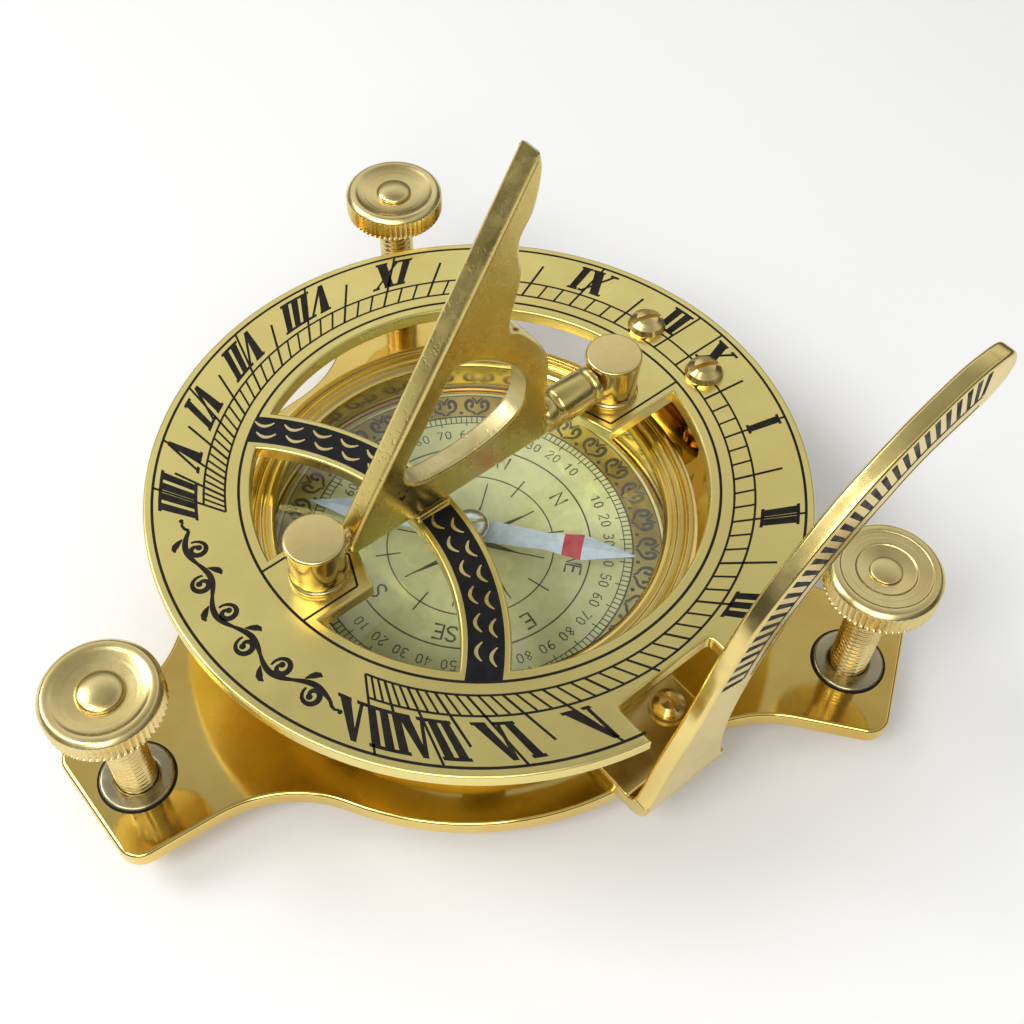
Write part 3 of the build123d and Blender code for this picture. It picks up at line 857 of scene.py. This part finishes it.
def ring_loops():
    """Outline with the arm's notch, and the two windows beside the strap."""
    half_tab = math.degrees(math.asin(TAB / OPENING))
    east_top = math.degrees(math.asin(6.6 / RING_RADIUS))
    east_low = 360 - math.degrees(math.asin(10.6 / RING_RADIUS))
    notch = soften([(46.0, -10.6), (42.3, -10.6), (42.3, 6.6), (46.0, 6.6)], 0.9, 4, closed=False)
    outline = arc(0, 0, RING_RADIUS, east_top, east_low, 220) + notch
    crossing = (STRAP_OUTER ** 2 - OPENING ** 2 - STRAP_Y ** 2) / (-2 * STRAP_Y)
    low = math.degrees(math.asin(crossing / OPENING))
    strap = math.degrees(math.atan2(crossing - STRAP_Y, math.sqrt(OPENING ** 2 - crossing ** 2)))
    north = arc(0, 0, OPENING, low, 90 - half_tab, 60)
    north += [(TAB, 20.6), (0, 18.7), (-TAB, 20.6)]
    north += arc(0, 0, OPENING, 90 + half_tab, 180 - low, 60)
    north += arc(0, STRAP_Y, STRAP_OUTER, 180 - strap, strap, 70)[1:-1]
    crossing = (STRAP_INNER ** 2 - OPENING ** 2 - STRAP_Y ** 2) / (-2 * STRAP_Y)
    low = math.degrees(math.asin(crossing / OPENING))
    strap = math.degrees(math.atan2(crossing - STRAP_Y, math.sqrt(OPENING ** 2 - crossing ** 2)))
    south = arc(0, 0, OPENING, 180 - low, 270 - half_tab, 30)
    south += [(-TAB, -24.6), (0, -22.6), (TAB, -24.6)]
    south += arc(0, 0, OPENING, 270 + half_tab, 360 + low, 30)
    south += arc(0, STRAP_Y, STRAP_INNER, strap, 180 - strap, 60)[1:-1]
    return [outline, north, south]


def make_ring():
    """Cast hour ring, and the small rest under the gnomon on its strap."""
    plate_piece("cast_hour_ring", ring_loops(), (RING_BOTTOM, RING_TOP), (0.25, 0.45), "ring", "ring",
                40, ("hour_ring",), on_ring)
    rest = soften([(-1.7, -13), (1.7, -13), (1.7, -7), (-1.7, -7)], 0.4, 3)
    plate_piece("gnomon_rest", [rest], (RING_TOP - 0.5, RING_TOP + 0.8), (0.0, 0.3), "ring", "ring",
                40, (), on_ring, 3)


def bar(m, low, high, half):
    return [(m - half, low), (m + half, low), (m + half, high), (m - half, high)]


def numeral_strokes(text):
    """Serif strokes of a Roman numeral as polygons in (s, t); t runs from foot 0 to head 1."""
    widths = {"I": 1.8, "V": 4.3, "X": 4.4}
    x = -sum(widths[c] for c in text) / 2
    serif = 0.085
    strokes = []
    for c in text:
        w = widths[c]
        if c == "I":
            m = x + w / 2
            strokes += [bar(m, 0.03, 0.97, 0.62), bar(m, 0.0, serif, 0.92), bar(m, 1 - serif, 1.0, 0.92)]
        if c == "V":
            strokes.append([(x + 0.2, 0.97), (x + 1.75, 0.0), (x + 2.55, 0.0), (x + 2.05, 0.97)])
            strokes.append([(x + 1.95, 0.0), (x + 2.5, 0.0), (x + 4.05, 0.97), (x + 3.5, 0.97)])
            strokes += [bar(x + 1.05, 1 - serif, 1.0, 1.1), bar(x + 3.65, 1 - serif, 1.0, 0.65)]
        if c == "X":
            strokes.append([(x + 0.3, 0.97), (x + 2.5, 0.03), (x + 4.1, 0.03), (x + 1.9, 0.97)])
            strokes.append([(x + 0.4, 0.03), (x + 0.9, 0.03), (x + 3.85, 0.97), (x + 3.35, 0.97)])
            strokes += [bar(x + 1.0, 1 - serif, 1.0, 1.0), bar(x + 3.3, 0.0, serif, 1.0),
                        bar(x + 0.65, 0.0, serif, 0.7), bar(x + 3.55, 1 - serif, 1.0, 0.65)]
        x += w
    return strokes


def hour_point(root, direction, radius):
    """Where a line from a root in a direction meets a circle about the centre."""
    along = root[0] * direction[0] + root[1] * direction[1]
    beyond = root[0] ** 2 + root[1] ** 2 - radius ** 2
    t = -along + math.sqrt(along ** 2 - beyond)
    return root[0] + direction[0] * t, root[1] + direction[1] * t


def hour_dir(hour):
    """Direction of an hour line: 15 degrees an hour from the noon line."""
    turn = math.radians(90.0 - 15.0 * hour)
    return math.cos(turn), math.sin(turn)


def numeral(marks, root, direction, text, offset=0.0):
    """One numeral read from outside, its head towards the centre."""
    foot = hour_point(root, direction, 47.7)
    head = hour_point(root, direction, 42.0)
    for stroke in numeral_strokes(text):
        points = []
        for s, t in stroke:
            x = foot[0] + (head[0] - foot[0]) * t
            y = foot[1] + (head[1] - foot[1]) * t
            angle = math.atan2(y, x) + (s + offset) / 45.0
            points.append((math.hypot(x, y) * math.cos(angle), math.hypot(x, y) * math.sin(angle)))
        marks.poly(points)


def ring_lines(marks):
    """Hour lines, half-hour ticks and the ladder of ten-minute cells."""
    top = math.degrees(math.asin(6.3 / RIM_LINE))
    low = 360 - math.degrees(math.asin(10.3 / RIM_LINE))
    marks.line(arc(0, 0, RIM_LINE, top, low, 300), 0.42)
    for side in (-1, 1):
        root = (side * HOUR_ROOT[0], HOUR_ROOT[1])
        for cell in range(8 * 6 + 1):
            hour = cell / 6.0
            direction = hour_dir(side * hour)
            reach, width = LADDER_OUTER, 0.32
            if cell % 6 == 0:
                reach, width = (42.0 if side > 0 and cell == 24 else RIM_LINE), 0.36
            elif cell % 3 == 0:
                reach, width = 45.6, 0.38
                far = hour_point(root, direction, reach)
                in_notch = far[0] > 41.5 and -11.5 < far[1] < 7.5
                if in_notch:
                    reach = LADDER_OUTER
            marks.line([hour_point(root, direction, r) for r in (LADDER_INNER, reach)], width)
    for radius in (LADDER_INNER, LADDER_OUTER):
        end = hour_point(HOUR_ROOT, hour_dir(8), radius)
        angle = math.degrees(math.atan2(end[1], end[0]))
        marks.line(arc(0, 0, radius, angle, 180.0 - angle, 260), 0.34)
    marks.circle(0, 0, 36.0, 0.42, 300)


def tab_lines(marks):
    """Engraved borders of the two tabs under the posts."""
    for side, shoulder, tip in ((1, 21.6, 19.9), (-1, 26.4, 24.2)):
        half, top = 5.2, math.sqrt(36.0 ** 2 - 5.2 ** 2)
        line = [(half, side * top), (half, side * shoulder), (0, side * tip), (-half, side * shoulder),
                (-half, side * top)]
        for a, b in zip(line, line[1:]):
            marks.line([a, b], 0.34)


def flourish(marks):
    """A scroll of leaves and curls, where the ring's south side is free of numbers."""
    def spot(angle, height):
        turn = math.radians(angle)
        return (43.6 + height) * math.cos(turn), (43.6 + height) * math.sin(turn)

    span, waves = 48.0, 3
    start = -90.0 - span / 2
    stem = [spot(start + span * k / 90, 1.0 * math.sin(TAU * waves * k / 90)) for k in range(91)]
    marks.line(stem, lambda t: 0.5 + 0.4 * abs(math.sin(TAU * waves * t)))
    for k in range(2 * waves):
        side = 1 if k % 2 == 0 else -1
        at = start + span * (k + 0.5) / (2 * waves)
        spiral = []
        for step in range(22):
            turn = math.radians(200 - 430 * step / 21)
            size = 1.75 - 1.25 * step / 21
            spiral.append(spot(at + size * math.cos(turn) * 1.15 + 0.8,
                               -side * (0.7 + size * math.sin(turn) * 0.95) + side * 0.2))
        marks.line(spiral, lambda t: 0.34 + 0.5 * math.sin(math.pi * t))
        marks.dot(*spiral[-1], 0.48)
        leaf = [spot(at - 2.4 + 2.6 * t, side * (1.1 + 1.5 * math.sin(math.pi * 0.6 * t)))
                for t in (0, 0.25, 0.5, 0.75, 1.0)]
        marks.line(leaf, lambda t: 0.16 + 0.85 * math.sin(math.pi * t))
    for end, lean in ((start, -1), (start + span, 1)):
        marks.line([spot(end + lean * 1.6 * t, 0.9 * math.sin(1.6 * t)) for t in (0, 0.5, 1.0, 1.4)],
                   lambda t: 0.55 - 0.2 * t)
        marks.dot(*spot(end + lean * 2.6, 0.9), 0.36)


def ring_marks():
    """Black-filled engraving of the ring: lines, numerals and the scroll."""
    marks = Marks(RING_TOP - 0.05, RING_TOP + 0.012, on_ring)
    ring_lines(marks)
    tab_lines(marks)
    east = {1: "I", 2: "II", 3: "III", 5: "V", 6: "VI", 7: "VII", 8: "VIII"}
    west = {1: "XI", 2: "X", 3: "IX", 4: "VIII", 5: "VII", 6: "VI", 7: "V", 8: "IIII"}
    for side, table in ((1, east), (-1, west)):
        for hour, text in table.items():
            numeral(marks, (side * HOUR_ROOT[0], HOUR_ROOT[1]), hour_dir(side * hour), text)
    numeral(marks, (0, HOUR_ROOT[1]), hour_dir(0), "X", -5.0)
    numeral(marks, (0, HOUR_ROOT[1]), hour_dir(0), "II", 4.7)
    marks.build("ring_engraving", "ink", "ring")
    scroll = Marks(RING_TOP - 0.05, RING_TOP + 0.012, on_ring)
    flourish(scroll)
    scroll.build("ring_scroll", "ink", "ring")


def strap_reach(radius, edge):
    """Angle about the strap's centre, in degrees, where its circle meets one about the ring's."""
    crossing = (radius ** 2 - edge ** 2 - STRAP_Y ** 2) / (-2 * STRAP_Y)
    return math.degrees(math.atan2(crossing - STRAP_Y, math.sqrt(edge ** 2 - crossing ** 2)))


def strap_field():
    """Black field of the strap, in two halves either side of the gnomon's rest."""
    field = Marks(RING_TOP - 0.05, RING_TOP + 0.015, on_ring)
    inner, outer, edge = 35.9, 41.0, 36.2
    start, end = strap_reach(outer, edge), 87.2
    slant = strap_reach(inner, edge) - start
    count = 40
    east = []
    for k in range(count + 1):
        angle = start + (end - start) * k / count
        east.append((angle, angle + slant * max(0, 1 - k / 4)))
    west = [(180 - a, 180 - b) for a, b in reversed(east)]
    for half in (east, west):
        for (a, a_in), (b, b_in) in zip(half, half[1:]):
            corners = [(outer, a), (outer, b), (inner, b_in), (inner, a_in)]
            field.poly([polar(r, degrees, (0, STRAP_Y)) for r, degrees in corners])
    field.build("strap_enamel", "field", "ring")


def strap_crescents():
    """Two staggered rows of bright crescents on the black field."""
    marks = Marks(RING_TOP - 0.05, RING_TOP + 0.045, on_ring)
    pitch, half_length, edge = 4.6, 1.5, 36.2
    for row, radius in enumerate((37.6, 39.7)):
        low = strap_reach(radius, edge) + 2.2
        for k in range(-7, 8):
            turn = 90 + math.degrees((k + 0.5 * row + 0.25) * pitch / radius)
            if not low < turn < 180 - low or abs(turn - 90) < 4.6:
                continue
            line = []
            for step in range(9):
                s = half_length * (step / 4 - 1)
                sag = 0.85 * (1 - (s / half_length) ** 2)
                line.append(polar(radius + 0.3 - sag, turn + math.degrees(s / radius), (0, STRAP_Y)))
            marks.line(line, lambda t: 0.2 + 0.34 * math.sin(math.pi * t))
    marks.build("strap_crescents", "satin", "ring")


def make_posts():
    """The gnomon's two waisted posts and their pivot collars."""
    for name, y, inward in (("north", 28.1, -1), ("south", -27.3, 1)):
        profile = [(0, RING_TOP), (4.4, RING_TOP), (4.4, 29.7), (4.05, 30.0), (4.0, 30.4), (4.0, 31.5),
                   (4.38, 36.9), (4.38, 37.2), (4.15, 37.48), (0, 37.5)]
        inner = soften(profile, 0.25, 3, closed=False)
        # The sides take the darker turned brass and the upward faces the lighter satin brass: the darker
        # sides are painted shade.
        post = turned_piece("turned_post_" + name, inner, ["turned", "satin"], "ring", 30,
                            ("gnomon_post_" + name,), 96, (0, y))
        for polygon in post.data.polygons:
            if polygon.normal.z > 0.6:
                polygon.material_index = 1
        collar = soften([(1.25, 3.7), (1.9, 3.7), (1.9, 4.6), (1.25, 4.6)], 0.2, 2)
        turned_piece("pivot_collar_" + name, [(r, y + inward * s) for r, s in collar], "screw", "ring",
                     40, (), 48, closed=True, place=along_y)


# ---------------------------------------------------------------- gnomon and arm

def make_gnomon():
    """Cast gnomon with its looped web, barrel, south pin and a few casting pits."""
    front = [(9.1, 86.0), (-22.9, 32.8), (-22.9, 31.2), (-21.9, 30.6), (14.0, 30.6), (14.0, 36.7),
             (13.1, 38.0), (13.1, 42.1)]
    back = curve([(13.1, 42.1), (13.1, 47.6), (11.0, 52.3), (7.9, 56.7), (5.9, 58.4), (6.0, 61.0),
                  (6.9, 64.5), (7.4, 68.1), (6.9, 73.2), (9.1, 77.3), (10.1, 82.6), (9.7, 85.6)], steps=6)
    outline = soften(front, 0.8, 3, closed=False)[:-1] + back
    loop = curve([(-12.4, 42.4), (-8.2, 49.3), (-4.2, 56.1), (-2.4, 56.6), (1.6, 54.6), (6.6, 50.0),
                  (8.7, 44.9), (6.8, 40.0), (-1.0, 37.5), (-10.5, 38.2)], closed=True, steps=8)
    body = plate_piece("cast_gnomon", [outline, loop], (-1.8, 1.8), (0.75, 0.75),
                       ["gnomon", "shaded_style", "loop"], "gnomon", 50, ("gnomon",), side_view)
    # Faces of the style that slope up towards the south get the darker style brass (index 1): painted shade
    # for the dark reflection there.
    for polygon in body.data.polygons:
        y, z = polygon.center.y / MM - MIDDLE[1], polygon.center.z / MM
        over_loop = -12.6 < y < 9.0 and z > 37.0
        if abs(polygon.normal.x) > 0.6:
            continue
        if over_loop and z < 57.0:
            polygon.material_index = 2
        elif not over_loop and polygon.normal.y < -0.7 and polygon.normal.z > 0.3:
            polygon.material_index = 1
    barrel = soften([(0, 12.6), (2.5, 12.6), (3.1, 13.4), (3.1, 15.0), (2.85, 15.3), (2.85, 16.0),
                     (3.1, 16.3), (3.1, 21.9), (2.8, 22.2), (2.8, 22.6), (3.05, 22.8), (3.05, 23.7),
                     (1.2, 23.7), (1.2, 27.5), (0, 27.5)], 0.2, 2, closed=False)
    turned_piece("gnomon_barrel", barrel, "gnomon", "gnomon", 40, (), 64, place=along_y)
    pin = soften([(0, -26.7), (1.2, -26.7), (1.2, -21.5), (0, -21.5)], 0.15, 2, closed=False)
    turned_piece("gnomon_pin_south", pin, "screw", "gnomon", 40, (), 48, place=along_y)
    pits = random.Random(7)
    marks = Marks(1.76, 1.815, side_view)
    for _ in range(9):
        y, z, size = -14.2 + pits.random() * 2.6, 36.6 + pits.random() * 2.4, 0.14 + 0.2 * pits.random()
        blob = [(y + size * (0.7 + 0.5 * pits.random()) * math.cos(TAU * k / 9),
                 z + size * (0.7 + 0.5 * pits.random()) * math.sin(TAU * k / 9)) for k in range(9)]
        marks.poly(blob)
    marks.build("casting_pits", "ink", "gnomon")


CONVEX = [(-9.5, 11.0), (-9.2, 12.3), (-8.2, 14.8), (-6.1, 20.5), (-2.4, 28.5), (0.7, 37.0), (5.0, 46.0),
          (11.3, 54.0), (18.8, 61.0), (27.5, 66.4), (36.2, 69.9), (41.2, 70.6)]
CONCAVE = [(44.6, 65.2), (41.8, 62.9), (38.0, 61.5), (31.2, 59.0), (25.6, 55.2), (20.7, 51.4), (14.0, 44.4),
           (9.6, 38.0), (6.6, 30.0), (5.0, 23.5), (4.8, 18.0), (5.2, 14.0), (6.0, 11.0)]


def along(points, distance):
    """Point and direction at a distance along a line."""
    for a, b in zip(points, points[1:]):
        step = math.dist(a, b)
        if distance <= step:
            t = distance / step
            return (a[0] + (b[0] - a[0]) * t, a[1] + (b[1] - a[1]) * t), \
                ((b[0] - a[0]) / step, (b[1] - a[1]) / step)
        distance -= step
    return points[-1], ((b[0] - a[0]) / step, (b[1] - a[1]) / step)


def blade_width(spot, inward, far_edge):
    """Distance from a point on one edge to the other edge, along a direction."""
    best = 20.0
    for p in far_edge:
        reach = (p[0] - spot[0]) * inward[0] + (p[1] - spot[1]) * inward[1]
        off = abs((p[0] - spot[0]) * inward[1] - (p[1] - spot[1]) * inward[0])
        if off < 0.8 and 0 < reach < best:
            best = reach
    return best


def make_arm():
    """Latitude arm: upright blade, the leaf screwed to the base, and the bend between them."""
    convex, concave = curve(CONVEX, steps=10), curve(CONCAVE, steps=10)
    tip = curve([(41.2, 70.6), (43.4, 70.4), (44.8, 69.0), (45.2, 67.2), (44.6, 65.2)], steps=5)
    outline = convex[:-1] + tip[:-1] + concave
    plate_piece("arm_blade", [outline], (ARM_WEST, ARM_EAST), (0.6, 0.6), "arm", "base",
                50, ("latitude_arm",), side_view)
    leaf = soften([(36.5, -9.5), (47.6, -9.5), (47.6, 9.5), (36.5, 9.5)], 0.8, 4)
    plate_piece("arm_leaf", [leaf, circle(40.7, 5.0, 1.5, 32)], (8.01, LEAF_TOP), (0.2, 0.5), "arm",
                "base", 40)
    bend = [(46.0, 8.02)] + arc(48.27, 11.02, 3.0, -90, 0, 10) + [(ARM_EAST - 0.03, 12.2)]
    bend += [(ARM_WEST + 0.03, 12.2), (ARM_WEST - 0.4, 11.3), (ARM_WEST - 1.3, LEAF_TOP - 0.01),
             (46.0, LEAF_TOP - 0.01)]
    plate_piece("arm_bend", [bend], (-6.0, 9.48), (0.5, 0.5), "arm", "base", 40, (),
                along_bend)
    arm_ladder_and_edge_shade(convex, concave)


def arm_ladder_and_edge_shade(convex, concave):
    """Thick ticks square to the convex edge, from the tip downwards, and the two lines beside them: an
    engraved rail, and a dark line near the far edge that is painted shade.
    """
    count, first, pitch = 30, 2.2, 1.88
    ladder = Marks(ARM_EAST - 0.04, ARM_EAST + 0.012, side_view)
    from_tip = list(reversed(convex))
    rail, edge = [], []
    for k in range(count):
        spot, way = along(from_tip, first + pitch * k)
        inward = (-way[1], way[0])
        width = blade_width(spot, inward, concave)

        def across(distance):
            return spot[0] + inward[0] * distance, spot[1] + inward[1] * distance

        ladder.line([across(0.75), across(0.64 * width)], lambda t: 0.95 - 0.3 * t)
        rail.append(across(0.66 * width))
        # A point 1 mm inside the far edge, for the dark line there, which is painted shade.
        edge.append(across(width - 1.0))
    ladder.line(curve(rail, steps=3), 0.42)
    # Thin dark line along the far edge: painted shade.
    ladder.line(curve(edge, steps=3), 0.24)
    ladder.build("arm_ladder_and_edge_shade", "ink", "base")


# ---------------------------------------------------------------- stage and light

def make_world():
    """Studio surround: bright above and to the north-west, dark near the horizon."""
    world = bpy.data.worlds.new("world")
    bpy.context.scene.world = world
    world.use_nodes = True
    tree = world.node_tree
    coords = tree.nodes.new("ShaderNodeTexCoord")
    split = tree.nodes.new("ShaderNodeSeparateXYZ")
    height = tree.nodes.new("ShaderNodeValToRGB")
    side = tree.nodes.new("ShaderNodeVectorMath")
    side.operation = "DOT_PRODUCT"
    side.inputs[1].default_value = (-0.9, -0.3, 0.3)
    lean = tree.nodes.new("ShaderNodeMapRange")
    lean.inputs["From Min"].default_value = -0.6
    lean.inputs["From Max"].default_value = 0.8
    lean.inputs["To Min"].default_value = 0.65
    lean.inputs["To Max"].default_value = 1.0
    mix = tree.nodes.new("ShaderNodeVectorMath")
    mix.operation = "MULTIPLY"
    tree.links.new(coords.outputs["Generated"], split.inputs["Vector"])
    tree.links.new(split.outputs["Z"], height.inputs["Fac"])
    tree.links.new(coords.outputs["Generated"], side.inputs[0])
    tree.links.new(side.outputs["Value"], lean.inputs["Value"])
    tree.links.new(height.outputs["Color"], mix.inputs[0])
    tree.links.new(lean.outputs["Result"], mix.inputs[1])
    tree.links.new(mix.outputs["Vector"], tree.nodes["Background"].inputs["Color"])
    ramp = height.color_ramp
    ramp.elements[0].color = (0.13, 0.125, 0.12, 1)
    ramp.elements[1].position = 0.95
    ramp.elements[1].color = (0.36, 0.36, 0.35, 1)
    for position, tone in ((0.20, 0.10), (0.42, 0.22), (0.57, 0.92), (0.68, 1.02), (0.80, 0.62)):
        ramp.elements.new(position).color = (tone, tone, tone * 0.98, 1)
    tree.nodes["Background"].inputs["Strength"].default_value = 1.0


def make_stage():
    """White floor, studio surround and three soft lights."""
    bpy.ops.mesh.primitive_plane_add(size=6, location=(0, 0, 0))
    floor = bpy.context.object
    floor.name = "floor"
    n = Nodes("floor_white")
    n.link(n.ramp(n.noise(3.0), [(0.3, (0.95, 0.95, 0.95)), (0.7, (0.97, 0.97, 0.97))]),
           n.shader.inputs["Base Color"])
    n.set(Roughness=0.8)
    floor.data.materials.append(n.material)
    make_world()
    for name, place, size, power in (
        ("key", (-0.60, -0.50, 0.70), 0.50, 4.0),
        ("fill", (0.60, -0.55, 0.70), 0.50, 3.0),
        ("top", (0.05, -0.80, 0.95), 0.45, 4.2),
    ):
        data = bpy.data.lights.new(name, "AREA")
        data.size = size
        data.energy = power
        light = bpy.data.objects.new(name, data)
        light.location = place
        aim = Vector((0, 0, 0.03)) - Vector(place)
        light.rotation_euler = aim.to_track_quat("-Z", "Y").to_euler()
        bpy.context.scene.collection.objects.link(light)
    bpy.context.scene.view_settings.view_transform = "Standard"


def paint_cad():
    """Gives every CAD node the material of its slot."""
    slots = {
        "polished_brass": "mirror", "satin_brass": "satin", "ring_brass": "ring",
        "gnomon_brass": "gnomon", "screw_brass": "screw", "steel": "steel",
        "chrome": "chrome", "card": "card", "glass": "glass", "needle_paint": "needle",
    }
    for row in frame["record"]["subparts"]:
        obj = frame["nodes"][row["node"]]
        obj.data.materials.clear()
        obj.data.materials.append(M[slots[row["material_slot"]]])


make_camera()
make_stage()
paint_cad()
make_base()
for screw in SCREWS:
    make_screw(screw)
make_case()
make_card()
make_needle()
make_ring()
ring_marks()
strap_field()
strap_crescents()
make_posts()
make_gnomon()
make_arm()
